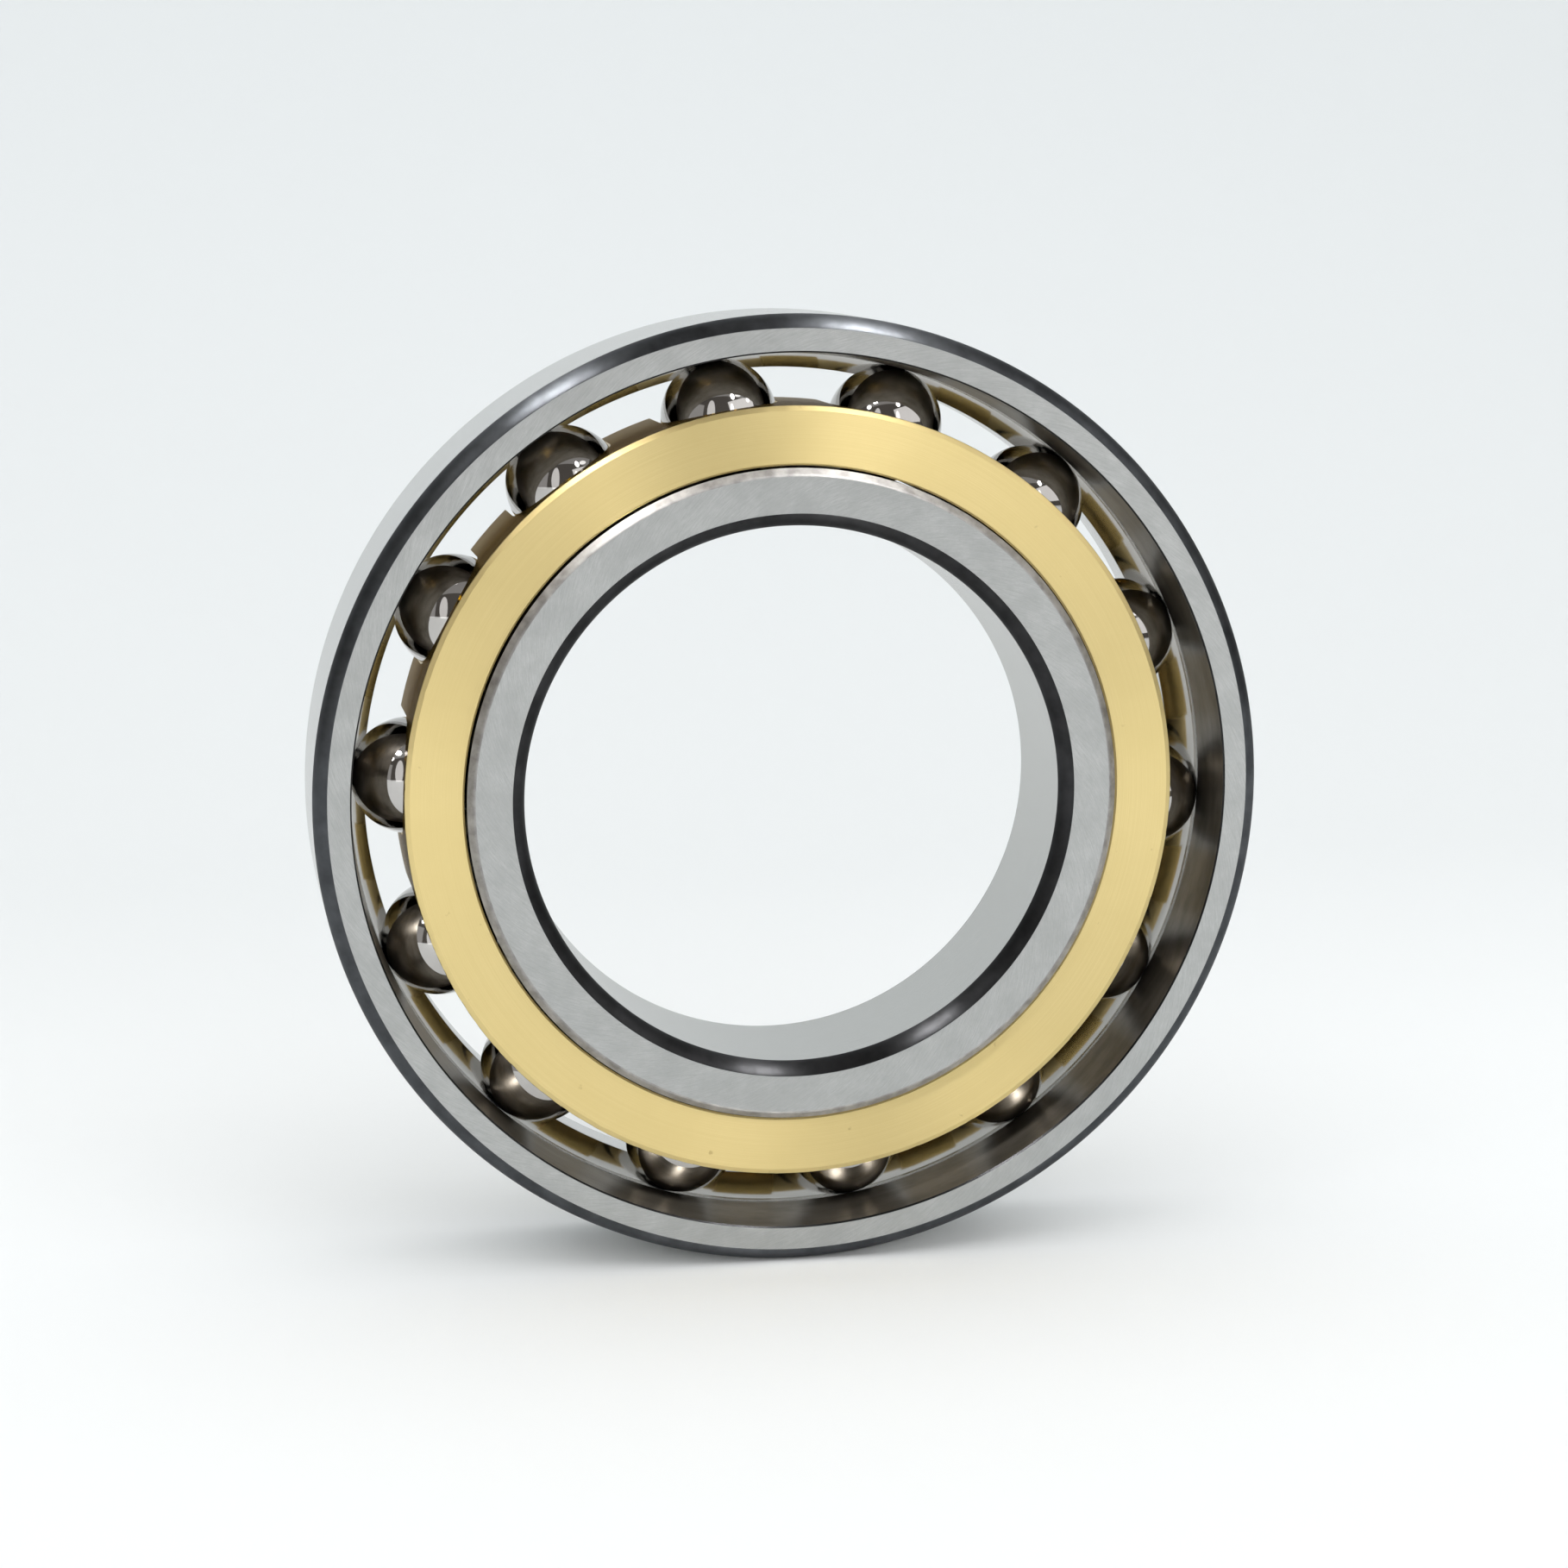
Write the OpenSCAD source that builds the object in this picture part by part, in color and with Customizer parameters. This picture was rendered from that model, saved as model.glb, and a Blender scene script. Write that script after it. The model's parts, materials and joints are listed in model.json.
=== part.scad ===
// Single-row angular contact ball bearing with a one-piece machined brass cage.
// The axis of the bearing lies along Y and the origin is at the middle of the bearing.
// The front, where the outer ring is counterbored and its face is narrow, looks along -Y.

/* [Boundary dimensions] */
// Bore diameter of the inner ring
bore_d = 85; // [84:0.5:86]
// Outside diameter of the outer ring
outside_d = 150; // [149:0.5:156]
// Width of both rings
ring_w = 28; // [27.5:0.5:32]

/* [Balls] */
// Number of balls
ball_count = 14; // [8:1:14]
// Diameter of one ball, 23/32 inch
ball_d = 18.256; // [17.8:0.001:18.3]
// Diameter of the circle through the ball centres
pitch_d = 119; // [118.8:0.1:119.2]
// Angle from +X to the first ball, seen from the front
first_ball_angle = 22.5; // [0:0.5:25]
// Contact angle, measured from the plane of the balls
contact_angle = 25; // [15:1:30]

/* [Raceways] */
// Radius of both raceway grooves in cross-section
groove_r = 9.6; // [9.5:0.05:9.8]
// Gap between a ball and each groove along the contact line
ball_play = 0.08; // [0.05:0.01:0.12]
// Diameter of the outer ring's high shoulder, behind the balls
outer_land_d = 132; // [131.5:0.1:133]
// Diameter of the counterbore at the front face
counterbore_d = 138.3; // [138.1:0.1:138.6]
// Diameter of the lip where the counterbore meets the groove
lip_d = 137.1; // [137:0.05:137.3]
// Diameter of the inner ring's shoulders
inner_land_d = 103; // [102.6:0.1:103.2]
// Diameter of the inner ring's ground faces
inner_face_d = 101; // [100:0.1:102]

/* [Ring edges] */
// Radial size of the corners on the outside diameter
rim_corner_r = 2.15; // [1.8:0.05:2.3]
// Axial size of the corners on the outside diameter
rim_corner_y = 2.65; // [2:0.05:2.7]
// Radial size of the corners of the bore
bore_corner_r = 2.05; // [1.6:0.05:2.3]
// Axial size of the corners of the bore
bore_corner_y = 2.4; // [2:0.05:2.6]
// Radius of the arc that rounds these corners
corner_arc = 3; // [3:0.1:5]
// Chamfer at the mouth of the counterbore
mouth_chamfer = 0.25; // [0.1:0.05:0.5]
// Chamfer at the back of the high shoulder
back_chamfer = 0.9; // [0.5:0.1:1.5]

/* [Cage] */
// Inside diameter of the cage
cage_inside_d = 103.6; // [103.5:0.1:104.2]
// Outside diameter of the cage
cage_outside_d = 122; // [121:0.1:123]
// How far the cage's front face lies below the ring faces
cage_front_depth = 1.8; // [1.5:0.1:3]
// How far the cage's rear edge lies below the front ring faces
cage_rear_depth = 24.7; // [24.4:0.1:26]
// Gap between a ball and its pocket
pocket_play = 0.27; // [0.2:0.01:0.35]
// Diameter above which the pockets are open to the rear
pocket_open_d = 116; // [112:0.5:118]
// Radial size of the bevel around the cage's front face
cage_bevel_r = 0.75; // [0.3:0.05:1]
// Axial size of the same bevel
cage_bevel_y = 0.4; // [0.2:0.05:0.8]
// Chamfer on the cage's rear outer edge
cage_edge = 0.4; // [0.2:0.05:0.8]
// Chamfer on the cage's inner edges
cage_bore_edge = 0.3; // [0.1:0.05:0.5]

/* [Hidden] */
half_w = ring_w / 2;
ball_r = ball_d / 2;
pitch_r = pitch_d / 2;
groove_shift = groove_r - ball_r - ball_play;
shift_r = groove_shift * cos(contact_angle);
shift_y = groove_shift * sin(contact_angle);
pocket_r = ball_r + pocket_play;
cage_front_y = cage_front_depth - half_w;
cage_rear_y = cage_rear_depth - half_w;
lap = 0.02;
over = 2;
$fn = 180;

function ball_angle(i) = first_ball_angle + (i - 1) * 360 / ball_count;
function ball_name(i) = str("ball_", i < 10 ? "0" : "", i);

// Turns a cross-section, drawn as [radius, y], about the Y axis
module turned() {
    rotate([-90, 0, 0]) rotate_extrude() children();
}

// Waste outside a rounded corner at the origin: the body lies towards -X and +Y of it
module corner_waste(size_r, size_y) {
    chord = norm([size_r, size_y]);
    reach = sqrt(corner_arc * corner_arc - chord * chord / 4);
    centre = [-size_r / 2 - reach * size_y / chord, size_y / 2 + reach * size_r / chord];
    difference() {
        translate([-size_r - lap, -over]) square([size_r + lap + over, size_y + lap + over]);
        translate(centre) circle(corner_arc);
    }
}

// The same corner at the front and at the back of a ring
module corner_pair(radius, size_r, size_y) {
    translate([radius, -half_w]) corner_waste(size_r, size_y);
    mirror([0, 1]) translate([radius, -half_w]) corner_waste(size_r, size_y);
}

// Outer ring: high shoulder behind the balls, open counterbore in front of them
module outer_ring() {
    color([0.72, 0.73, 0.74]) turned() difference() {
        polygon([
            [lip_d / 2, 0],
            [counterbore_d / 2, mouth_chamfer - half_w],
            [counterbore_d / 2 + mouth_chamfer, -half_w],
            [outside_d / 2, -half_w],
            [outside_d / 2, half_w],
            [outer_land_d / 2 + back_chamfer, half_w],
            [outer_land_d / 2, half_w - back_chamfer],
            [outer_land_d / 2, 0],
        ]);
        translate([pitch_r - shift_r, -shift_y]) circle(groove_r);
        corner_pair(outside_d / 2, rim_corner_r, rim_corner_y);
    }
}

// Inner ring: equal shoulders on both sides of the groove
module inner_ring() {
    face_drop = (inner_land_d - inner_face_d) / 2;
    color([0.75, 0.76, 0.77]) turned() difference() {
        polygon([
            [bore_d / 2, -half_w],
            [inner_face_d / 2, -half_w],
            [inner_land_d / 2, face_drop - half_w],
            [inner_land_d / 2, half_w - face_drop],
            [inner_face_d / 2, half_w],
            [bore_d / 2, half_w],
        ]);
        translate([pitch_r + shift_r, shift_y]) circle(groove_r);
        translate([bore_d, 0]) mirror([1, 0]) corner_pair(bore_d / 2, bore_corner_r, bore_corner_y);
    }
}

// Cage: a turned brass ring with one drilled pocket for each ball
module cage() {
    color([0.80, 0.70, 0.45]) difference() {
        turned() polygon([
            [cage_inside_d / 2, cage_front_y + cage_bore_edge],
            [cage_inside_d / 2 + cage_bore_edge, cage_front_y],
            [cage_outside_d / 2 - cage_bevel_r, cage_front_y],
            [cage_outside_d / 2, cage_front_y + cage_bevel_y],
            [cage_outside_d / 2, cage_rear_y - cage_edge],
            [cage_outside_d / 2 - cage_edge, cage_rear_y],
            [cage_inside_d / 2 + cage_bore_edge, cage_rear_y],
            [cage_inside_d / 2, cage_rear_y - cage_bore_edge],
        ]);
        for (i = [1:ball_count]) rotate([0, -ball_angle(i), 0]) pocket();
    }
}

// One pocket, for a ball on +X: a radial hole whose outer part is open to the rear
module pocket() {
    reach = cage_outside_d / 2 + over;
    translate([cage_inside_d / 2 - over, 0, 0])
        rotate([0, 90, 0]) cylinder(h = reach - cage_inside_d / 2 + over, r = pocket_r);
    translate([pocket_open_d / 2, 0, -pocket_r])
        cube([reach - pocket_open_d / 2, cage_rear_y + over, 2 * pocket_r]);
}

// Ball number i
module ball(i) {
    color([0.45, 0.46, 0.48])
        rotate([0, -ball_angle(i), 0]) translate([pitch_r, 0, 0]) sphere(ball_r);
}

outer_ring();
inner_ring();
cage();
for (i = [1:ball_count]) ball(i);
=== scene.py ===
"""Looks of a single-row angular contact ball bearing with a brass cage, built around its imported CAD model."""

import json
import math

import bmesh
import bpy
from mathutils import Matrix, Vector


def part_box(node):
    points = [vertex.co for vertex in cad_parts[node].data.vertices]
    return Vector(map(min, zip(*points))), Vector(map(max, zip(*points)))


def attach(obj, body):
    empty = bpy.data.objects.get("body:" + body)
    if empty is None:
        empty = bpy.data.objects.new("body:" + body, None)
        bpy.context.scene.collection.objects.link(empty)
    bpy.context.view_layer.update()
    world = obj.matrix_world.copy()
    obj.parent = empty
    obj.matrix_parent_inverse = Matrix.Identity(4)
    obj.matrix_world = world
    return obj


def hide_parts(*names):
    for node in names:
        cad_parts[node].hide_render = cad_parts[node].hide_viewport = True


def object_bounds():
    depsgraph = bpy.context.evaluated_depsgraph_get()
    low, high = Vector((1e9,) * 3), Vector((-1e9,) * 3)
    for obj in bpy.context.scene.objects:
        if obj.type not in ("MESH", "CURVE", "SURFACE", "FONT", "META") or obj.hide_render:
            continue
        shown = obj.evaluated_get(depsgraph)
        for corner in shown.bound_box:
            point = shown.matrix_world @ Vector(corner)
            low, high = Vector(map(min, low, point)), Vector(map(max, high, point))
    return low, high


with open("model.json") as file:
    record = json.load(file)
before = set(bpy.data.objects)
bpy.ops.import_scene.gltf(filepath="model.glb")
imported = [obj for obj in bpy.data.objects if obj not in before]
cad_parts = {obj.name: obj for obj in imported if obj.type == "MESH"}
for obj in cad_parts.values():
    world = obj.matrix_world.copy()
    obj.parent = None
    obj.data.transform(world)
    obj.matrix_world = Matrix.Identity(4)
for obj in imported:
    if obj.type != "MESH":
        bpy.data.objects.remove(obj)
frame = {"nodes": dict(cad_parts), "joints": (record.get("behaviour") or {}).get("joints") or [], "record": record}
CAD_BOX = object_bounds()

MM = 0.001

# ---------------------------------------------------------------------------
# Sizes. Boxes, mounts and joints of the frame give the outer dimensions, and
# the sections inside them are named here, in millimetres.
# ---------------------------------------------------------------------------


def box_mm(node):
    """Lowest and highest corner of a CAD node, in millimetres."""
    low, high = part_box(node)
    return low / MM, high / MM


MOUNTS = {m["name"]: m for m in frame["record"]["mounts"]}
JOINTS = {j["name"]: j for j in frame["joints"]}
BALLS = sorted(n for n in frame["nodes"] if n.startswith("ball_"))

RIM_R = box_mm("outer_ring")[1].z
HALF_W = box_mm("outer_ring")[1].y
BORE_R = MOUNTS["bore"]["dims"]["r_mm"]
CAGE_R = box_mm("cage")[1].z
CAGE_FRONT = box_mm("cage")[0].y
CAGE_REAR = box_mm("cage")[1].y
BALL_R = box_mm(BALLS[0])[1].y
BALL_CENTRES = {b: Vector(JOINTS[b + "_spin"]["pos_m"]) / MM for b in BALLS}
BALL_AXES = {b: Vector(JOINTS[b + "_spin"]["axis"]) for b in BALLS}
PITCH_R = BALL_CENTRES[BALLS[0]].length
CONTACT_ANGLE = math.acos(BALL_AXES[BALLS[0]].y)

GROOVE_R = 9.6
BALL_PLAY = 0.08
SHIFT = GROOVE_R - BALL_R - BALL_PLAY  # from a ball's centre to the centre of each groove's arc
SHIFT_R = SHIFT * math.cos(CONTACT_ANGLE)
SHIFT_Y = SHIFT * math.sin(CONTACT_ANGLE)

OUTER_LAND_R = 66.0
COUNTERBORE_R = 69.15
LIP_R = 68.55  # where the counterbore meets the groove, and keeps the balls in
MOUTH_CHAMFER = 0.25
BACK_CHAMFER = 0.9
INNER_LAND_R = 51.5
INNER_FACE_R = 50.5
RIM_CORNER = (2.15, 2.65)  # how far the outside corners reach, along the radius and along the axis
BORE_CORNER = (2.05, 2.4)  # the same at the bore
CORNER_ARC = 3.0
SECTION_INSET = 4.0  # from the outside or the bore to a point well inside the ring's section

CAGE_BORE_R = 51.8
CAGE_BEVEL = (0.75, 0.4)  # the front bevel, along the radius and along the axis
CAGE_EDGE = 0.4
CAGE_BORE_EDGE = 0.3
POCKET_PLAY = 0.27
POCKET_OPEN_R = 58.0
CUT_OVER = 2.0  # how far a cutter stands past the cage

# Radii of the small roundings that break the edges.
EDGE_BREAK = 0.12
CHAMFER_BREAK = 0.6
LAND_BREAK = 0.15
FINE_BREAK = 0.1
CAGE_FACE_BREAK = 0.2
CAGE_RIM_BREAK = 0.15
FILLET_SHARE = 0.45  # the most of a side that a rounding takes
POCKET_DEBURR = 0.1
POCKET_WELD = 0.15
DEBURR_WELD = 0.004

# Radii between which a material changes from the inner surfaces to the outer ones. For the steel, the inner
# surfaces are painted darker there, as painted shade.
RING_SHADE_RADII = (55.0, 60.0)
CORNER_SHADE_RADII = (70.0, 72.0)
CAGE_MIDDLE = (56.0, 57.0)
OIL_DEPTHS = (-5.0, 9.0)  # along the axis, the oil on the cage's outside grows between these

TURNS = 28 * len(BALLS)  # a whole number for each pocket, so that every pocket cuts the steps alike
ARC_STEPS = 12
GROOVE_STEPS = 32
FILLET_STEPS = 3
POCKET_SIDES = 96
BALL_SIDES = 96
BALL_RINGS = 64
BEND_STEPS = 24


# ---------------------------------------------------------------------------
# Node graphs
# ---------------------------------------------------------------------------


class Graph:
    """A material's node tree, built with short calls."""

    def __init__(self, name):
        self.material = bpy.data.materials.new(name)
        self.material.use_nodes = True
        self.tree = self.material.node_tree
        self.tree.nodes.clear()
        self.output = self.tree.nodes.new("ShaderNodeOutputMaterial")

    def node(self, kind, props=None, **inputs):
        """Adds a node. props are its settings, and inputs are values or sockets, named or numbered _0, _1."""
        made = self.tree.nodes.new("ShaderNode" + kind)
        for key, value in (props or {}).items():
            setattr(made, key, value)
        for key, value in inputs.items():
            socket = made.inputs[int(key[1:])] if key[0] == "_" else made.inputs[key.replace("_", " ")]
            if isinstance(value, bpy.types.NodeSocket):
                self.tree.links.new(value, socket)
            else:
                socket.default_value = value
        return made

    def math(self, operation, a, b=0.0):
        return self.node("Math", {"operation": operation}, _0=a, _1=b).outputs[0]

    def vector(self, x, y, z):
        return self.node("CombineXYZ", X=x, Y=y, Z=z).outputs[0]

    def noise(self, vector, scale=1.0, detail=2.0, rough=0.5):
        made = self.node("TexNoise", Vector=vector, Scale=scale, Detail=detail, Roughness=rough)
        return made.outputs["Fac"]

    def band(self, value, low, high, out_low=0.0, out_high=1.0):
        """Maps low..high of value to out_low..out_high, and clamps it."""
        made = self.node("MapRange", {"interpolation_type": "LINEAR"}, Value=value)
        for socket, number in zip(made.inputs[1:5], (low, high, out_low, out_high)):
            socket.default_value = number
        return made.outputs[0]

    def mix_colour(self, factor, a, b):
        """Colour a where factor is 0, and b where it is 1. Each is three numbers or a socket."""
        made = self.node("MixRGB", {"blend_type": "MIX"}, Fac=factor)
        for socket, value in zip((made.inputs[1], made.inputs[2]), (a, b)):
            if isinstance(value, bpy.types.NodeSocket):
                self.tree.links.new(value, socket)
            else:
                socket.default_value = (*value, 1.0)
        return made.outputs[0]

    def place(self):
        """Where a point is on the object, in metres."""
        return self.node("TexCoord").outputs["Object"]

    def polar(self):
        """Radius in millimetres, the unit direction (cos, sin) around the Y axis, and the place along it."""
        part = self.node("SeparateXYZ", Vector=self.place())
        flat = self.vector(part.outputs[0], 0.0, part.outputs[2])
        length = self.node("VectorMath", {"operation": "LENGTH"}, _0=flat).outputs["Value"]
        radius = self.math("MULTIPLY", length, 1 / MM)
        safe = self.math("MAXIMUM", length, 1e-6)
        cos = self.math("DIVIDE", part.outputs[0], safe)
        sin = self.math("DIVIDE", part.outputs[2], safe)
        return radius, cos, sin, self.math("MULTIPLY", part.outputs[1], 1 / MM)

    def bump(self, height, strength, distance):
        return self.node("Bump", Height=height, Strength=strength, Distance=distance).outputs[0]

    def finish(self, shader):
        self.tree.links.new(shader.outputs[0], self.output.inputs["Surface"])
        return self.material


def metal(graph, colour, roughness, normal=None, oil=None, turned=0.0, brushed=0.0, rim_tint=(1.0, 1.0, 1.0)):
    """A Principled metal, whose colour, roughness, normal and oil are sockets.

    turned is how strongly its marks run around the Y axis, and brushed how strongly they run across that.
    rim_tint darkens what it mirrors at a glancing angle, and oil is the weight of a clear film on top.
    """
    shader = graph.node("BsdfPrincipled")
    shader.inputs["Metallic"].default_value = 1.0
    shader.inputs["Specular Tint"].default_value = (*rim_tint, 1.0)
    shader.inputs["Coat Roughness"].default_value = 0.3
    shader.inputs["Anisotropic"].default_value = turned or brushed
    shader.inputs["Anisotropic Rotation"].default_value = 0.25 if turned else 0.0
    driven = {"Base Color": colour, "Roughness": roughness, "Normal": normal, "Coat Weight": oil}
    for name, socket in driven.items():
        if socket is not None:
            graph.tree.links.new(socket, shader.inputs[name])
    if turned or brushed:
        tangent = graph.node("Tangent", {"direction_type": "RADIAL", "axis": "Y"})
        graph.tree.links.new(tangent.outputs[0], shader.inputs["Tangent"])
    return graph.finish(shader)


def ground_face():
    """A ring face off a surface grinder: short fine marks at a slant across it, and a few scratches."""
    g = Graph("ground_face")
    radius, cos, sin, _ = g.polar()
    slant = g.math("MULTIPLY", radius, 0.035)
    c, s = g.math("COSINE", slant), g.math("SINE", slant)
    slanted_cos = g.math("SUBTRACT", g.math("MULTIPLY", cos, c), g.math("MULTIPLY", sin, s))
    slanted_sin = g.math("ADD", g.math("MULTIPLY", sin, c), g.math("MULTIPLY", cos, s))
    marks = g.noise(g.vector(slanted_cos, slanted_sin, g.math("MULTIPLY", radius, 0.005)), 190.0, 3.0, 0.7)
    fine = g.noise(g.vector(slanted_cos, slanted_sin, g.math("MULTIPLY", radius, 0.006)), 900.0, 2.0, 0.6)
    cloud = g.noise(g.place(), 240.0, 4.0, 0.6)
    grain = g.math("ADD", g.math("MULTIPLY", marks, 0.6), g.math("MULTIPLY", fine, 0.4))
    lengths = g.noise(g.vector(slanted_cos, slanted_sin, g.math("MULTIPLY", radius, 0.0025)), 620.0, 1.0, 0.5)
    rare = g.noise(g.vector(cos, sin, g.math("MULTIPLY", radius, 0.03)), 22.0, 2.0, 0.5)
    scratch = g.math("MULTIPLY", g.band(lengths, 0.7, 0.76), g.band(rare, 0.52, 0.62))
    light = g.mix_colour(g.band(cloud, 0.35, 0.65), (0.48, 0.49, 0.485), (0.57, 0.58, 0.575))
    plain = g.mix_colour(g.band(grain, 0.3, 0.7), (0.37, 0.38, 0.375), light)
    colour = g.mix_colour(g.math("MULTIPLY", scratch, 0.7), plain, (0.26, 0.26, 0.26))
    rough = g.band(grain, 0.3, 0.7, 0.36, 0.44)
    return metal(g, colour, rough, g.bump(grain, 0.3, 0.00004), brushed=0.2)


def ground_cylinder():
    """A ground cylinder, with very fine marks around it, and painted darker at the bore as painted shade."""
    g = Graph("ground_cylinder")
    radius, cos, sin, depth = g.polar()
    wide_cos, wide_sin = g.math("MULTIPLY", cos, 1.5), g.math("MULTIPLY", sin, 1.5)
    lines = g.noise(g.vector(g.math("MULTIPLY", depth, 3.0), wide_cos, wide_sin), 4.0, 4.0, 0.7)
    light = g.mix_colour(g.band(lines, 0.3, 0.7), (0.59, 0.59, 0.58), (0.67, 0.67, 0.66))
    # dark: the same ground steel painted darker for the bore, as painted shade
    dark = g.mix_colour(g.band(lines, 0.3, 0.7), (0.47, 0.47, 0.455), (0.54, 0.54, 0.525))
    colour = g.mix_colour(g.band(radius, *RING_SHADE_RADII), dark, light)
    return metal(g, colour, g.band(lines, 0.3, 0.7, 0.23, 0.28), turned=0.6)


def hardened_corner():
    """A turned corner, left dark by the hardening, and painted darker still at the bore and the counterbore's
    mouth, as painted shade.
    """
    g = Graph("hardened_corner")
    radius, cos, sin, depth = g.polar()
    place = g.place()
    lumps = g.noise(place, 260.0, 3.0, 0.55)
    streaks = g.noise(g.vector(cos, sin, g.math("MULTIPLY", depth, 0.01)), 60.0, 3.0, 0.6)
    light = g.mix_colour(g.band(lumps, 0.3, 0.7), (0.06, 0.063, 0.068), (0.095, 0.1, 0.107))
    # dark: the corner painted darker at the bore and the counterbore's mouth, as painted shade
    dark = g.mix_colour(g.band(lumps, 0.3, 0.7), (0.028, 0.028, 0.029), (0.046, 0.046, 0.048))
    colour = g.mix_colour(g.band(radius, *CORNER_SHADE_RADII), dark, light)
    rough = g.band(streaks, 0.3, 0.7, 0.3, 0.36)
    return metal(g, colour, rough, g.bump(lumps, 0.1, 0.00005), turned=1.0, rim_tint=(0.8, 0.8, 0.8))


def turned_counterbore():
    """The counterbore, turned and then left brown by the hardening."""
    g = Graph("turned_counterbore")
    _, cos, sin, depth = g.polar()
    lines = g.noise(g.vector(g.math("MULTIPLY", depth, 4.0), cos, sin), 3.0, 3.0, 0.6)
    stain = g.noise(g.vector(cos, sin, g.math("MULTIPLY", depth, 0.04)), 7.0, 4.0, 0.6)
    colour = g.mix_colour(g.band(stain, 0.35, 0.65), (0.14, 0.125, 0.10), (0.22, 0.20, 0.17))
    rough = g.band(lines, 0.3, 0.7, 0.28, 0.36)
    return metal(g, colour, rough, g.bump(lines, 0.1, 0.00002), turned=0.8)


def honed_track():
    """The raceway groove: honed to a mirror, and slightly dark with oil."""
    g = Graph("honed_track")
    _, cos, sin, depth = g.polar()
    film = g.noise(g.vector(cos, sin, g.math("MULTIPLY", depth, 0.05)), 6.0, 3.0, 0.5)
    colour = g.mix_colour(g.band(film, 0.35, 0.65), (0.36, 0.345, 0.32), (0.43, 0.415, 0.39))
    return metal(g, colour, g.band(film, 0.35, 0.65, 0.11, 0.14))


def broken_edge():
    """A narrow edge, rounded by stoning."""
    g = Graph("broken_edge")
    place = g.place()
    wear = g.noise(place, 420.0, 3.0, 0.6)
    colour = g.mix_colour(g.band(wear, 0.35, 0.65), (0.30, 0.29, 0.28), (0.48, 0.465, 0.45))
    return metal(g, colour, g.band(wear, 0.35, 0.65, 0.46, 0.54), turned=0.85)


def faced_brass():
    """Brass faced on a lathe: fine rings around the axis, satin, with a few small pits."""
    g = Graph("faced_brass")
    radius, cos, sin, depth = g.polar()
    across = g.math("MULTIPLY", g.math("ADD", radius, depth), 9.0)
    near_cos, near_sin = g.math("MULTIPLY", cos, 0.8), g.math("MULTIPLY", sin, 0.8)
    rings = g.noise(g.vector(across, near_cos, near_sin), 1.0, 4.0, 0.7)
    cloud = g.noise(g.vector(cos, sin, g.math("MULTIPLY", radius, 0.02)), 5.0, 4.0, 0.55)
    place = g.place()
    pits = g.band(g.noise(place, 520.0, 2.0, 0.5), 0.74, 0.8)
    light = g.mix_colour(g.band(cloud, 0.35, 0.65), (0.865, 0.70, 0.33), (0.91, 0.74, 0.36))
    lined = g.mix_colour(g.band(rings, 0.3, 0.7), (0.835, 0.665, 0.30), light)
    colour = g.mix_colour(pits, lined, (0.66, 0.50, 0.22))
    rough = g.band(rings, 0.3, 0.7, 0.36, 0.42)
    return metal(g, colour, rough, g.bump(rings, 0.12, 0.00003), turned=0.85)


def turned_brass():
    """The cage's outside and bore: turned, dulled by a brown film, and oily on the outside's rear part."""
    g = Graph("turned_brass")
    radius, cos, sin, depth = g.polar()
    rings = g.noise(g.vector(g.math("MULTIPLY", depth, 6.0), cos, sin), 1.5, 4.0, 0.7)
    film = g.noise(g.vector(cos, sin, g.math("MULTIPLY", depth, 0.05)), 8.0, 4.0, 0.6)
    colour = g.mix_colour(g.band(film, 0.35, 0.65), (0.60, 0.43, 0.15), (0.72, 0.53, 0.20))
    rough = g.band(rings, 0.3, 0.7, 0.2, 0.28)
    oil = g.math("MULTIPLY", g.band(depth, *OIL_DEPTHS, 0.0, 0.3), g.band(radius, *CAGE_MIDDLE))
    normal = g.bump(rings, 0.1, 0.00002)
    return metal(g, colour, rough, normal, oil, turned=0.7, rim_tint=(0.14, 0.11, 0.07))


def drilled_brass():
    """The pocket walls, with marks around the bore of the drill."""
    g = Graph("drilled_brass")
    place = g.place()
    marks = g.noise(place, 700.0, 3.0, 0.6)
    colour = g.mix_colour(g.band(marks, 0.3, 0.7), (0.60, 0.46, 0.21), (0.70, 0.55, 0.27))
    return metal(g, colour, g.band(marks, 0.3, 0.7, 0.3, 0.36), g.bump(marks, 0.05, 0.00002))


def ball_steel():
    """A lapped ball: a dark mirror with a trace of oil film and very fine lap marks."""
    g = Graph("ball_steel")
    place = g.place()
    film = g.noise(place, 160.0, 3.0, 0.5)
    lap = g.noise(place, 3200.0, 2.0, 0.5)
    colour = g.mix_colour(g.band(film, 0.35, 0.65), (0.46, 0.445, 0.43), (0.52, 0.505, 0.49))
    rough = g.math("ADD", g.band(film, 0.35, 0.65, 0.04, 0.06), g.band(lap, 0.4, 0.7, 0.0, 0.01))
    return metal(g, colour, rough)


# ---------------------------------------------------------------------------
# Meshes
# ---------------------------------------------------------------------------


def fillet(before, corner, after, radius, steps=FILLET_STEPS):
    """Points of the arc that rounds a corner of a profile, from the side of before to the side of after."""
    a, b = (before - corner).normalized(), (after - corner).normalized()
    half = a.angle(b) / 2
    room = FILLET_SHARE * min((before - corner).length, (after - corner).length)
    reach = min(radius / math.tan(half), room)
    round_r = reach * math.tan(half)
    centre = corner + (a + b).normalized() * (round_r / math.sin(half))
    start, end = corner + a * reach - centre, corner + b * reach - centre
    return arc_about(centre, start, end, steps)


def arc_about(centre, start, end, steps):
    """Points of an arc about centre, turned evenly from centre + start to centre + end."""
    angle = math.atan2(start.x * end.y - start.y * end.x, start.dot(end))
    points = []
    for i in range(steps + 1):
        t = angle * i / steps
        c, s = math.cos(t), math.sin(t)
        points.append(centre + Vector((c * start.x - s * start.y, s * start.x + c * start.y)))
    return points


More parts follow.
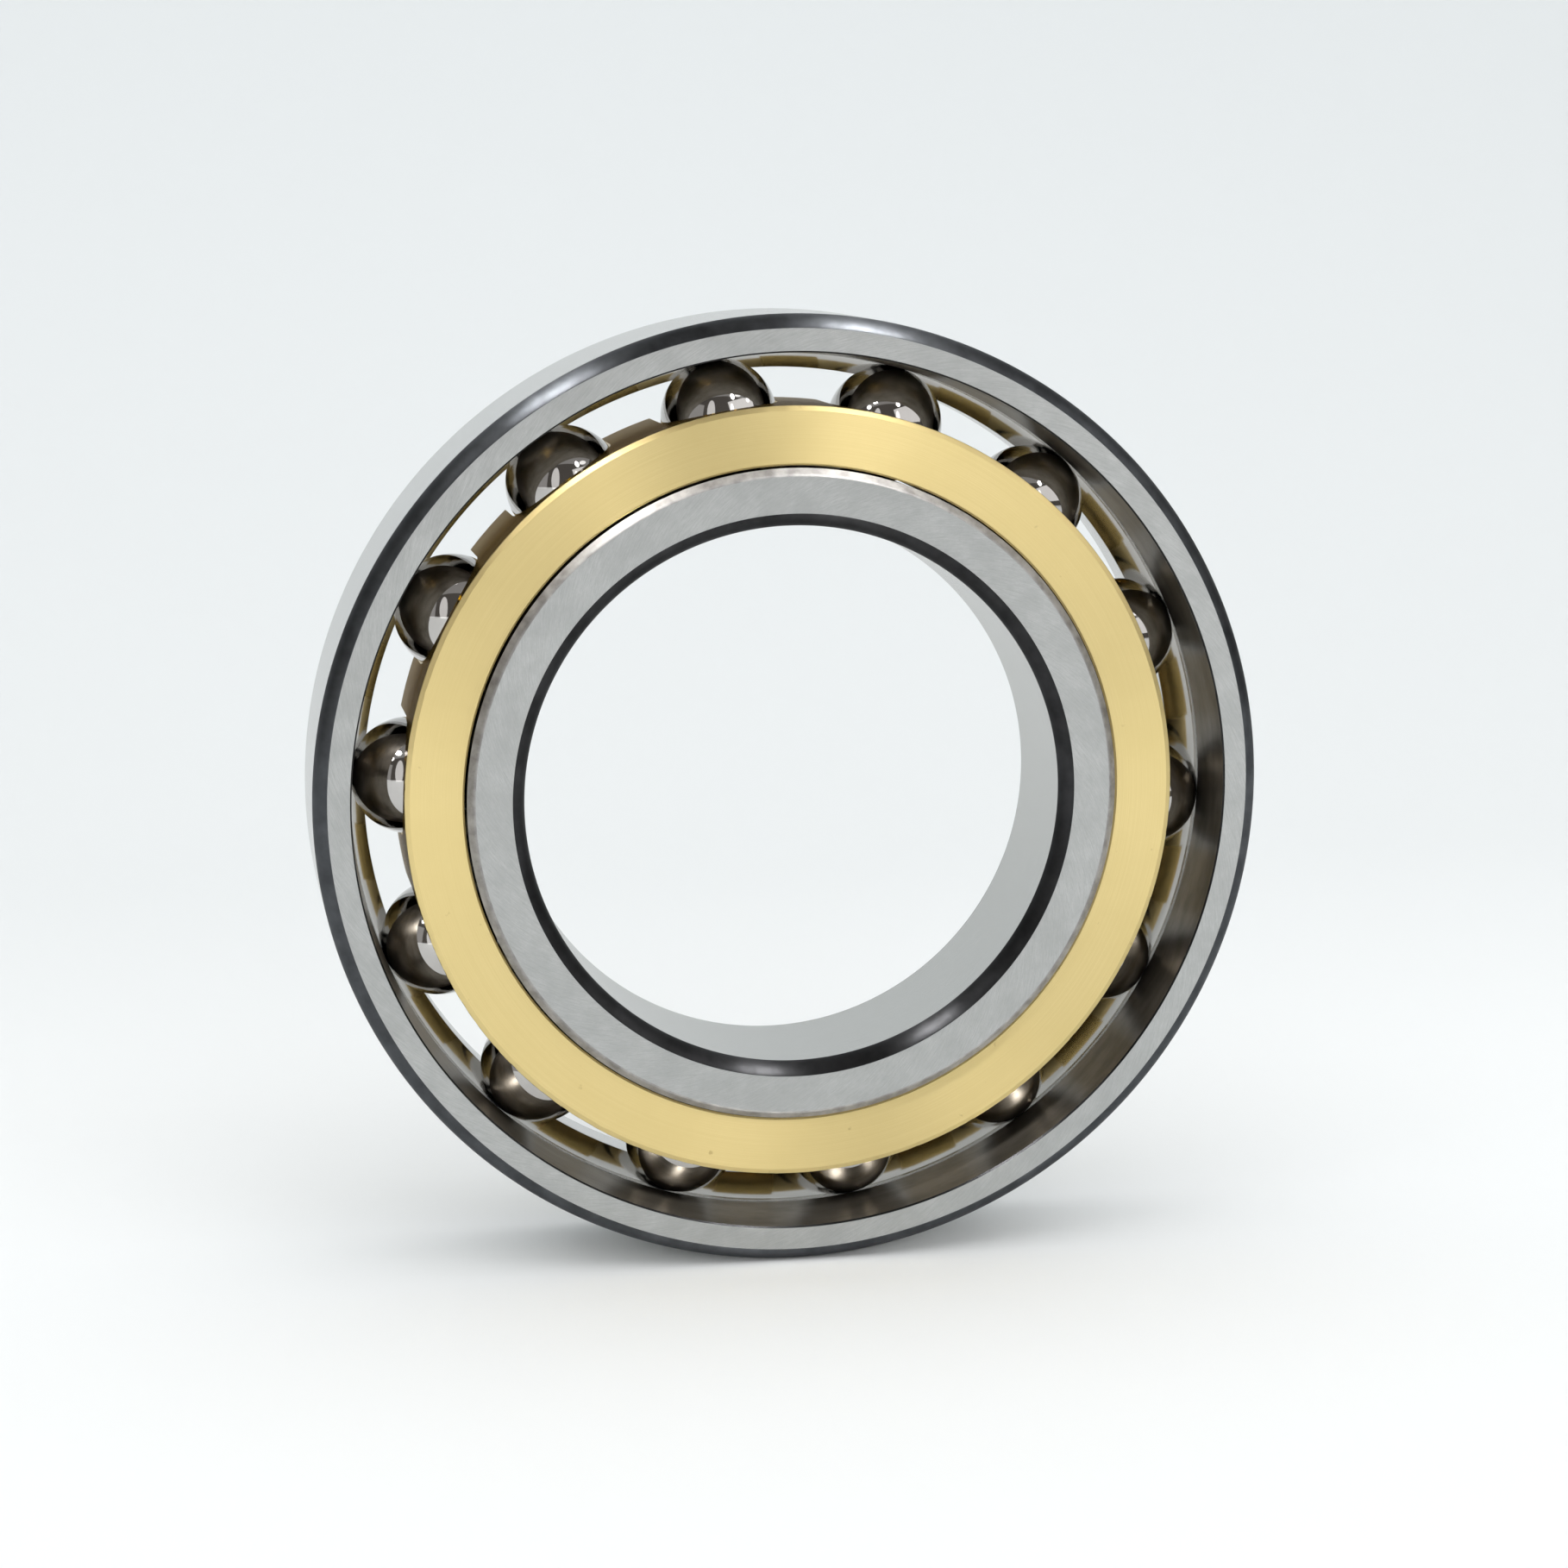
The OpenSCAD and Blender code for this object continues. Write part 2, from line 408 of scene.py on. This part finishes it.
def arc_through(start, end, radius, inside, steps=ARC_STEPS):
    """Points of the arc of that radius from start to end, with its centre on the same side as inside."""
    chord = end - start
    middle = (start + end) / 2
    normal = Vector((-chord.y, chord.x)).normalized()
    if normal.dot(inside - middle) < 0:
        normal.negate()
    centre = middle + normal * math.sqrt(radius * radius - chord.length_squared / 4)
    return arc_about(centre, start - centre, end - centre, steps)


class Profile:
    """A closed cross-section of (radius, y) points, each with the material slot of the stretch after it."""

    def __init__(self):
        self.points = []
        self.slots = []
        self.softs = []

    def line(self, r, y, slot, soft=0.0):
        """A corner at (r, y), with the slot of the stretch after it and the radius that breaks its edge."""
        self.curve([Vector((r, y))], slot, soft)

    def curve(self, points, slot, soft=0.0):
        """A run of points that share a slot."""
        self.points += points
        self.slots += [slot] * len(points)
        self.softs += [soft] * len(points)

    def softened(self, edge_slot):
        """The points and slots, with each marked corner rounded."""
        points, slots = [], []
        count = len(self.points)
        for i, (point, slot, soft) in enumerate(zip(self.points, self.slots, self.softs)):
            rounded = [point]
            if soft:
                rounded = fillet(self.points[i - 1], point, self.points[(i + 1) % count], soft)
            points += rounded
            slots += [edge_slot] * (len(rounded) - 1) + [slot]
        return points, slots


def lathe(name, points, slots, materials):
    """Turns a closed profile about the Y axis into a mesh object, in metres."""
    mesh = bpy.data.meshes.new(name)
    count = len(points)
    verts = []
    for i in range(TURNS):
        a = 2 * math.pi * i / TURNS
        c, s = math.cos(a), math.sin(a)
        verts += [(p.x * c * MM, p.y * MM, p.x * s * MM) for p in points]
    faces, index = [], []
    for i in range(TURNS):
        here, there = i * count, (i + 1) % TURNS * count
        for j in range(count):
            k = (j + 1) % count
            faces.append((here + j, there + j, there + k, here + k))
            index.append(slots[j])
    mesh.from_pydata(verts, [], faces)
    for material in materials:
        mesh.materials.append(material)
    mesh.polygons.foreach_set("material_index", index)
    fix_normals(mesh)
    smooth(mesh)
    made = bpy.data.objects.new(name, mesh)
    bpy.context.scene.collection.objects.link(made)
    flatten(made)
    return made


def fix_normals(mesh):
    """Makes every face look outwards."""
    work = bmesh.new()
    work.from_mesh(mesh)
    bmesh.ops.recalc_face_normals(work, faces=work.faces)
    work.to_mesh(mesh)
    work.free()


def flatten(piece):
    """Keeps the shading of the flat stretches flat, right up to the rounded edges beside them."""
    even = piece.modifiers.new("flatten", "WEIGHTED_NORMAL")
    even.mode = "FACE_AREA"
    even.weight = 50
    even.keep_sharp = True
    apply_modifiers(piece)


def smooth(mesh, angle=32.0):
    """Smooth shading, with a sharp edge wherever two faces meet at more than angle degrees."""
    mesh.polygons.foreach_set("use_smooth", [True] * len(mesh.polygons))
    mesh.set_sharp_from_angle(angle=math.radians(angle))


FACE, CYLINDER, CORNER, TRACK, EDGE, COUNTERBORE = range(6)


def ring_materials():
    """The rings' materials, in the order of the slots above."""
    makers = (ground_face, ground_cylinder, hardened_corner, honed_track, broken_edge, turned_counterbore)
    return [maker() for maker in makers]


def corner(profile, face_end, wall_end, inside, slot_after, flip=False):
    """Adds a rounded corner of a ring, from the face to the wall, or the other way if flip is set."""
    points = arc_through(face_end, wall_end, CORNER_ARC, inside)
    if flip:
        points.reverse()
    profile.curve(points[:-1], CORNER)
    profile.curve(points[-1:], slot_after)


def groove_points(centre, start_y, end_y, outward, steps=GROOVE_STEPS):
    """Points along a groove between two depths. outward is 1 for the outer ring and -1 for the inner ring."""
    a0 = math.asin((start_y - centre.y) / GROOVE_R)
    a1 = math.asin((end_y - centre.y) / GROOVE_R)
    angles = [a0 + (a1 - a0) * i / steps for i in range(steps + 1)]
    return [centre + GROOVE_R * Vector((outward * math.cos(a), math.sin(a))) for a in angles]


def outer_ring(materials):
    """The outer ring, drawn around its section from the mouth of the counterbore."""
    centre = Vector((PITCH_R - SHIFT_R, -SHIFT_Y))
    land_y = centre.y + math.sqrt(GROOVE_R**2 - (OUTER_LAND_R - centre.x) ** 2)
    lip_y = centre.y - math.sqrt(GROOVE_R**2 - (LIP_R - centre.x) ** 2)
    middle = Vector((RIM_R - SECTION_INSET, 0))
    rim_r, rim_y = RIM_CORNER
    p = Profile()
    p.line(COUNTERBORE_R + MOUTH_CHAMFER, -HALF_W, FACE)
    corner(p, Vector((RIM_R - rim_r, -HALF_W)), Vector((RIM_R, rim_y - HALF_W)), middle, CYLINDER)
    corner(p, Vector((RIM_R - rim_r, HALF_W)), Vector((RIM_R, HALF_W - rim_y)), middle, FACE, flip=True)
    p.line(OUTER_LAND_R + BACK_CHAMFER, HALF_W, EDGE, FINE_BREAK)
    p.line(OUTER_LAND_R, HALF_W - BACK_CHAMFER, CYLINDER, FINE_BREAK)
    p.line(OUTER_LAND_R, land_y, TRACK, LAND_BREAK)
    p.curve(groove_points(centre, land_y, lip_y, 1)[1:-1], TRACK)
    p.line(LIP_R, lip_y, COUNTERBORE, FINE_BREAK)
    p.line(COUNTERBORE_R, MOUTH_CHAMFER - HALF_W, CORNER)
    points, slots = p.softened(EDGE)
    return lathe("outer_ring_ground", points, slots, materials)


def inner_ring(materials):
    """The inner ring, drawn around its section from the front face."""
    centre = Vector((PITCH_R + SHIFT_R, SHIFT_Y))
    reach = math.sqrt(GROOVE_R**2 - (centre.x - INNER_LAND_R) ** 2)
    drop = INNER_LAND_R - INNER_FACE_R
    middle = Vector((BORE_R + SECTION_INSET, 0))
    bore_r, bore_y = BORE_CORNER
    p = Profile()
    p.line(INNER_FACE_R, -HALF_W, EDGE, CHAMFER_BREAK)
    p.line(INNER_LAND_R, drop - HALF_W, TRACK, EDGE_BREAK)
    p.line(INNER_LAND_R, centre.y - reach, TRACK, FINE_BREAK)
    p.curve(groove_points(centre, centre.y - reach, centre.y + reach, -1)[1:-1], TRACK)
    p.line(INNER_LAND_R, centre.y + reach, TRACK, FINE_BREAK)
    p.line(INNER_LAND_R, HALF_W - drop, EDGE, EDGE_BREAK)
    p.line(INNER_FACE_R, HALF_W, FACE, CHAMFER_BREAK)
    corner(p, Vector((BORE_R + bore_r, HALF_W)), Vector((BORE_R, HALF_W - bore_y)), middle, CYLINDER)
    corner(p, Vector((BORE_R + bore_r, -HALF_W)), Vector((BORE_R, bore_y - HALF_W)), middle, FACE, flip=True)
    points, slots = p.softened(EDGE)
    return lathe("inner_ring_ground", points, slots, materials)


def pocket_frames():
    """For each pocket, the turn that takes x to its radial direction and y to the bearing's axis."""
    axis = Vector((0, 1, 0))
    for centre in BALL_CENTRES.values():
        out = centre.normalized()
        yield Matrix((out, axis, out.cross(axis))).transposed().to_4x4()


def pocket_cutter():
    """The waste of the round pockets, as one mesh of radial bars."""
    work = bmesh.new()
    pocket_r = (BALL_R + POCKET_PLAY) * MM
    start, end = (CAGE_BORE_R - CUT_OVER) * MM, (CAGE_R + CUT_OVER) * MM
    for basis in pocket_frames():
        low_ring, high_ring = [], []
        for i in range(POCKET_SIDES):
            a = 2 * math.pi * i / POCKET_SIDES
            y, z = pocket_r * math.cos(a), pocket_r * math.sin(a)
            low_ring.append(work.verts.new(basis @ Vector((start, y, z))))
            high_ring.append(work.verts.new(basis @ Vector((end, y, z))))
        for i in range(POCKET_SIDES):
            j = (i + 1) % POCKET_SIDES
            work.faces.new((low_ring[i], low_ring[j], high_ring[j], high_ring[i]))
        work.faces.new(low_ring)
        work.faces.new(high_ring)
    bmesh.ops.recalc_face_normals(work, faces=work.faces)
    return mesh_object("pocket_cutter", work)


def slot_cutter():
    """The waste that opens the outer part of each pocket to the rear."""
    work = bmesh.new()
    half = (BALL_R + POCKET_PLAY) * MM
    low, high = POCKET_OPEN_R * MM, (CAGE_R + CUT_OVER) * MM
    rear = (CAGE_REAR + CUT_OVER) * MM
    for basis in pocket_frames():
        made = bmesh.ops.create_cube(work, size=1.0)
        for v in made["verts"]:
            x = high if v.co.x > 0 else low
            y = rear if v.co.y > 0 else 0.0
            v.co = basis @ Vector((x, y, math.copysign(half, v.co.z)))
    bmesh.ops.recalc_face_normals(work, faces=work.faces)
    return mesh_object("slot_cutter", work)


def mesh_object(name, work):
    """Turns a bmesh into an object in the scene."""
    mesh = bpy.data.meshes.new(name)
    work.to_mesh(mesh)
    work.free()
    made = bpy.data.objects.new(name, mesh)
    bpy.context.scene.collection.objects.link(made)
    return made


def weld(mesh, distance):
    """Merges the points that a cut leaves almost on top of each other."""
    work = bmesh.new()
    work.from_mesh(mesh)
    bmesh.ops.remove_doubles(work, verts=work.verts, dist=distance)
    bmesh.ops.dissolve_degenerate(work, edges=work.edges, dist=distance / 4)
    work.to_mesh(mesh)
    work.free()


def apply_modifiers(piece):
    """Replaces the piece's mesh with its evaluated one."""
    graph = bpy.context.evaluated_depsgraph_get()
    mesh = bpy.data.meshes.new_from_object(piece.evaluated_get(graph))
    piece.modifiers.clear()
    piece.data = mesh


FACED, TURNED, DRILLED = range(3)


def cage():
    """The cage: a turned ring whose pockets are cut, then deburred."""
    bevel_r, bevel_y = CAGE_BEVEL
    p = Profile()
    p.line(CAGE_BORE_R, CAGE_FRONT + CAGE_BORE_EDGE, FACED)
    p.line(CAGE_BORE_R + CAGE_BORE_EDGE, CAGE_FRONT, FACED)
    p.line(CAGE_R - bevel_r, CAGE_FRONT, FACED, CAGE_FACE_BREAK)
    p.line(CAGE_R, CAGE_FRONT + bevel_y, TURNED, CAGE_RIM_BREAK)
    p.line(CAGE_R, CAGE_REAR - CAGE_EDGE, FACED)
    p.line(CAGE_R - CAGE_EDGE, CAGE_REAR, FACED)
    p.line(CAGE_BORE_R + CAGE_BORE_EDGE, CAGE_REAR, FACED)
    p.line(CAGE_BORE_R, CAGE_REAR - CAGE_BORE_EDGE, TURNED)
    points, slots = p.softened(FACED)
    made = lathe("cage_turned", points, slots, [faced_brass(), turned_brass(), drilled_brass()])
    for cutter in (pocket_cutter(), slot_cutter()):
        cutter.data.materials.append(made.data.materials[DRILLED])
        cut = made.modifiers.new("cut", "BOOLEAN")
        cut.operation = "DIFFERENCE"
        cut.solver = "EXACT"
        cut.object = cutter
        cut.material_mode = "TRANSFER"
        apply_modifiers(made)
        bpy.data.objects.remove(cutter)
    weld(made.data, POCKET_WELD * MM)
    deburr = made.modifiers.new("deburr", "BEVEL")
    deburr.width = POCKET_DEBURR * MM
    deburr.segments = 2
    deburr.limit_method = "ANGLE"
    deburr.angle_limit = math.radians(50)
    deburr.use_clamp_overlap = False
    apply_modifiers(made)
    weld(made.data, DEBURR_WELD * MM)
    smooth(made.data, 20.0)
    flatten(made)
    return made


def ball_mesh(name, centre):
    """A ball, as rings of points between two poles."""
    verts = [centre + BALL_R * Vector((0, 0, 1))]
    for i in range(1, BALL_RINGS):
        polar = math.pi * i / BALL_RINGS
        for j in range(BALL_SIDES):
            a = 2 * math.pi * j / BALL_SIDES
            out = Vector((math.sin(polar) * math.cos(a), math.sin(polar) * math.sin(a), math.cos(polar)))
            verts.append(centre + BALL_R * out)
    verts.append(centre - BALL_R * Vector((0, 0, 1)))
    last = len(verts) - 1
    faces = []
    for j in range(BALL_SIDES):
        k = (j + 1) % BALL_SIDES
        faces.append((0, 1 + j, 1 + k))
        for i in range(BALL_RINGS - 2):
            above = 1 + i * BALL_SIDES
            below = above + BALL_SIDES
            faces.append((above + j, below + j, below + k, above + k))
        faces.append((last, last - BALL_SIDES + k, last - BALL_SIDES + j))
    mesh = bpy.data.meshes.new(name)
    mesh.from_pydata([v * MM for v in verts], [], faces)
    smooth(mesh, 180.0)
    return mesh


def balls(material):
    """One lapped ball per joint, by the name of its node."""
    made = {}
    for name in BALLS:
        mesh = ball_mesh(name + "_lapped", BALL_CENTRES[name])
        mesh.materials.append(material)
        made[name] = bpy.data.objects.new(mesh.name, mesh)
        bpy.context.scene.collection.objects.link(made[name])
    return made


# ---------------------------------------------------------------------------
# Stage: floor sweep, lights and camera
# ---------------------------------------------------------------------------

FLOOR_Z = CAD_BOX[0].z


def sweep():
    """A pale floor that curves up into a backdrop behind the object."""
    width, front, back, height, bend = 5.0, -2.6, 0.75, 1.7, 0.45
    line = [(front, 0.0), (back - bend, 0.0)]
    for i in range(1, BEND_STEPS + 1):
        a = math.pi / 2 * i / BEND_STEPS
        line.append((back - bend + bend * math.sin(a), bend - bend * math.cos(a)))
    line.append((back, height))
    verts = [(side * width / 2, y, FLOOR_Z + z) for y, z in line for side in (-1, 1)]
    faces = [(2 * i, 2 * i + 1, 2 * i + 3, 2 * i + 2) for i in range(len(line) - 1)]
    mesh = bpy.data.meshes.new("sweep")
    mesh.from_pydata(verts, [], faces)
    smooth(mesh, 60.0)
    g = Graph("pale_board")
    along = g.node("SeparateXYZ", Vector=g.place()).outputs[1]
    # The board is painted darker from the bend up the backdrop: painted shade where less light falls.
    shade = g.mix_colour(g.band(along, 0.1, back), (0.82, 0.84, 0.845), (0.66, 0.695, 0.71))
    shader = g.node("BsdfPrincipled", Base_Color=shade, Roughness=0.75)
    mesh.materials.append(g.finish(shader))
    made = bpy.data.objects.new("sweep", mesh)
    bpy.context.scene.collection.objects.link(made)


def look(thing, direction):
    """Turns a lamp or a camera to look along a direction."""
    thing.rotation_mode = "QUATERNION"
    thing.rotation_quaternion = direction.to_track_quat("-Z", "Y")


def lamp(name, direction, distance, width, height, radiance, shape="ELLIPSE", diffuse=False, only=()):
    """A soft lamp aimed at the object, with its sizes in metres.

    It shows only as a highlight in the metal, or, if diffuse is set, it only lights rough surfaces such as
    the floor. If only is given, it lights those pieces and no others.
    """
    data = bpy.data.lights.new(name, "AREA")
    data.shape = shape
    data.size, data.size_y = width, height
    area = width * height * (math.pi / 4 if shape == "ELLIPSE" else 1)
    data.energy = radiance * math.pi * area
    made = bpy.data.objects.new(name, data)
    made.location = Vector(direction).normalized() * distance
    look(made, -made.location)
    made.visible_camera = False
    made.visible_glossy = not diffuse
    made.visible_diffuse = diffuse
    bpy.context.scene.collection.objects.link(made)
    if only:
        made.light_linking.receiver_collection = bpy.data.collections.new(name + "_receivers")
        for piece in only:
            made.light_linking.receiver_collection.objects.link(piece)
    return made


def around(azimuth, elevation):
    """A direction from the object. Azimuth 0 is in front of it, and 90 to its right."""
    a, e = math.radians(azimuth), math.radians(elevation)
    return Vector((math.sin(a) * math.cos(e), -math.cos(a) * math.cos(e), math.sin(e)))


def lights():
    """A studio of small bright lamps, dim walls and a ceiling for the metal to mirror, and large fills."""
    lamp("lamp_left", around(-36, 50), 1.2, 0.24, 0.18, 42)
    lamp("lamp_far_left", around(-46, 37), 1.2, 0.15, 0.15, 9)
    lamp("strip_left", around(-25, 13), 1.2, 0.32, 1.05, 0.95)
    lamp("wall_left", around(-58, 8), 1.3, 0.8, 0.9, 0.35, "RECTANGLE")
    lamp("wall_right", around(40, 22), 1.2, 1.15, 0.62, 1.1, "RECTANGLE")
    lamp("strip_right", around(18, 20), 1.19, 0.14, 0.44, 1.4)
    lamp("lamp_right", around(24, 43), 1.19, 0.11, 0.20, 32)
    lamp("lamp_right_high", around(40, 44), 1.19, 0.27, 0.14, 1.5)
    lamp("lamp_far_right", around(58, 31), 1.19, 0.14, 0.14, 3)
    lamp("ceiling", around(0, 66), 1.3, 2.2, 1.0, 0.26, "RECTANGLE")
    lamp("overhead", (0, 0.1, 1), 1.6, 3.4, 3.4, 1.5, "RECTANGLE", diffuse=True)
    lamp("front_fill", around(-5, 35), 1.8, 3.2, 2.4, 0.8, "RECTANGLE", diffuse=True)
    lamp("low_fill", around(10, 16), 1.6, 2.6, 0.8, 1.6, "RECTANGLE", diffuse=True)
    steel_only = [bpy.data.objects["outer_ring_ground"], bpy.data.objects["inner_ring_ground"]]
    lamp("kicker_left", around(-35, 50), 1.18, 0.28, 0.16, 56, only=steel_only)
    lamp("kicker_right", around(24, 43), 1.17, 0.12, 0.20, 120, only=steel_only)
    world = bpy.data.worlds.new("room")
    world.use_nodes = True
    background = world.node_tree.nodes["Background"]
    background.inputs["Color"].default_value = (0.12, 0.11, 0.10, 1.0)
    background.inputs["Strength"].default_value = 1.0
    bpy.context.scene.world = world


CAMERA_AZIMUTH, CAMERA_ELEVATION = -10.57, 9.80
CAMERA_PLACE = Vector((-0.0989, -0.5323, 0.0935))
CAMERA_LENS = 78.9


def camera():
    """A long lens, in front of the object, a little to the left and above."""
    data = bpy.data.cameras.new("camera")
    data.lens = CAMERA_LENS
    data.sensor_width = 36.0
    data.clip_start, data.clip_end = 0.01, 20.0
    made = bpy.data.objects.new("camera", data)
    made.location = CAMERA_PLACE
    look(made, -around(CAMERA_AZIMUTH, CAMERA_ELEVATION))
    bpy.context.scene.collection.objects.link(made)
    bpy.context.scene.camera = made


def keep(piece, node):
    """piece is shown in place of a CAD node, on the same body."""
    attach(piece, node)
    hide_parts(node)


bpy.context.scene.view_settings.view_transform = "Standard"
camera()
sweep()
steel = ring_materials()
keep(outer_ring(steel), "outer_ring")
keep(inner_ring(steel), "inner_ring")
keep(cage(), "cage")
for node, piece in balls(ball_steel()).items():
    keep(piece, node)
lights()
